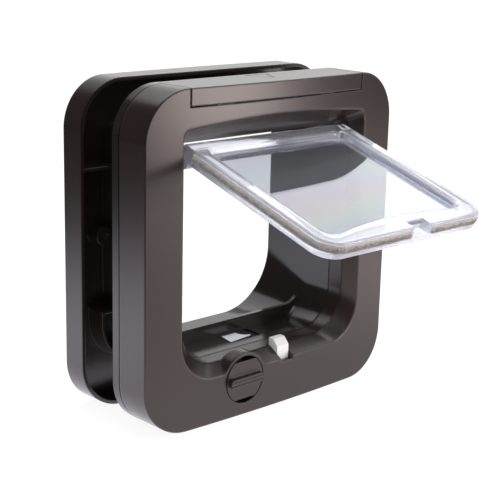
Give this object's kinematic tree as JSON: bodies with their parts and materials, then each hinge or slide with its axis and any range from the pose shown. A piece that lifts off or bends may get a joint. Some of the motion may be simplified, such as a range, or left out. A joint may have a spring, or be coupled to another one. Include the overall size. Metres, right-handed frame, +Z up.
{
  "type": "cat flap",
  "caption": "Square door-mounted cat flap with a bowed frame, a clear top-hinged flap, a powered latch, a lock knob and a sleeve to an outer frame.",
  "frame": {"origin": "on the plane where the inner unit meets the door, midway between the two door screws", "axes": "+X to the right seen from the room, +Y from the room out through the door, +Z up"},
  "size_m": [0.21, 0.1919, 0.21],
  "materials": {
    "frame_plastic": "satin moulded ABS, dark brown",
    "clear_plastic": "polished clear moulding",
    "brush_pile": "short grey pile",
    "white_plastic": "white moulded nylon",
    "bush_plastic": "black acetal",
    "window_plastic": "pale glossy lens",
    "cell_jacket": "plain wrapped jacket",
    "contact_metal": "plated spring steel",
    "board_green": "solder mask",
    "chip_black": "moulded packages",
    "coil_copper": "enamelled wire",
    "screw_steel": "zinc plated",
    "motor_steel": "plated can"
  },
  "bodies": {
    "unit": {"front_housing": "frame_plastic", "rear_cover": "frame_plastic", "exterior_frame": "frame_plastic", "pivot_bush_left": "bush_plastic", "pivot_bush_right": "bush_plastic", "sensor_window": "window_plastic", "battery_1": "cell_jacket", "battery_2": "cell_jacket", "battery_3": "cell_jacket", "battery_4": "cell_jacket", "battery_contacts": "contact_metal", "circuit_board": "board_green", "board_components": "chip_black", "button_switch": "chip_black", "antenna_coil": "coil_copper", "board_screws": "screw_steel", "case_screws": "screw_steel", "latch_motor": "motor_steel"},
    "flap": {"flap_panel": "clear_plastic", "brush_left": "brush_pile", "brush_right": "brush_pile"},
    "bolt": {"latch": "white_plastic"},
    "lift_cam": {"latch_cam": "white_plastic"},
    "knob": {"lock_knob": "frame_plastic", "knob_cam": "white_plastic", "knob_clip": "contact_metal"},
    "cap": {"battery_cover": "frame_plastic"},
    "button": {"memory_button": "white_plastic"}
  },
  "joints": [
    {"name": "flap_swing", "type": "hinge", "parent": "unit", "child": "flap", "pos_m": [0, -0.0195, 0.0564], "axis": [1, 0, 0], "range_deg": [-12, 147]},
    {"name": "cam_turn", "type": "hinge", "parent": "unit", "child": "lift_cam", "pos_m": [0.0098, -0.027, -0.096], "axis": [0, 1, 0], "range_deg": [0, 270]},
    {"name": "latch_lift", "type": "slide", "parent": "unit", "child": "bolt", "axis": [0, 0, 1], "range_m": [0, 0.007]},
    {"name": "knob_turn", "type": "hinge", "parent": "unit", "child": "knob", "pos_m": [-0.027, -0.031, -0.0877], "axis": [0, 1, 0], "range_deg": [0, 270]},
    {"name": "cover_lift", "type": "slide", "parent": "unit", "child": "cap", "axis": [0, 0, 1], "range_m": [0, 0.04]},
    {"name": "button_press", "type": "slide", "parent": "unit", "child": "button", "axis": [0, 0, -1], "range_m": [0, 0.001], "stiffness_N_per_m": 400}
  ],
  "couplings": [
    {"joint": "cam_turn", "follows": "latch_lift", "rad_per_m": 673.19}
  ]
}
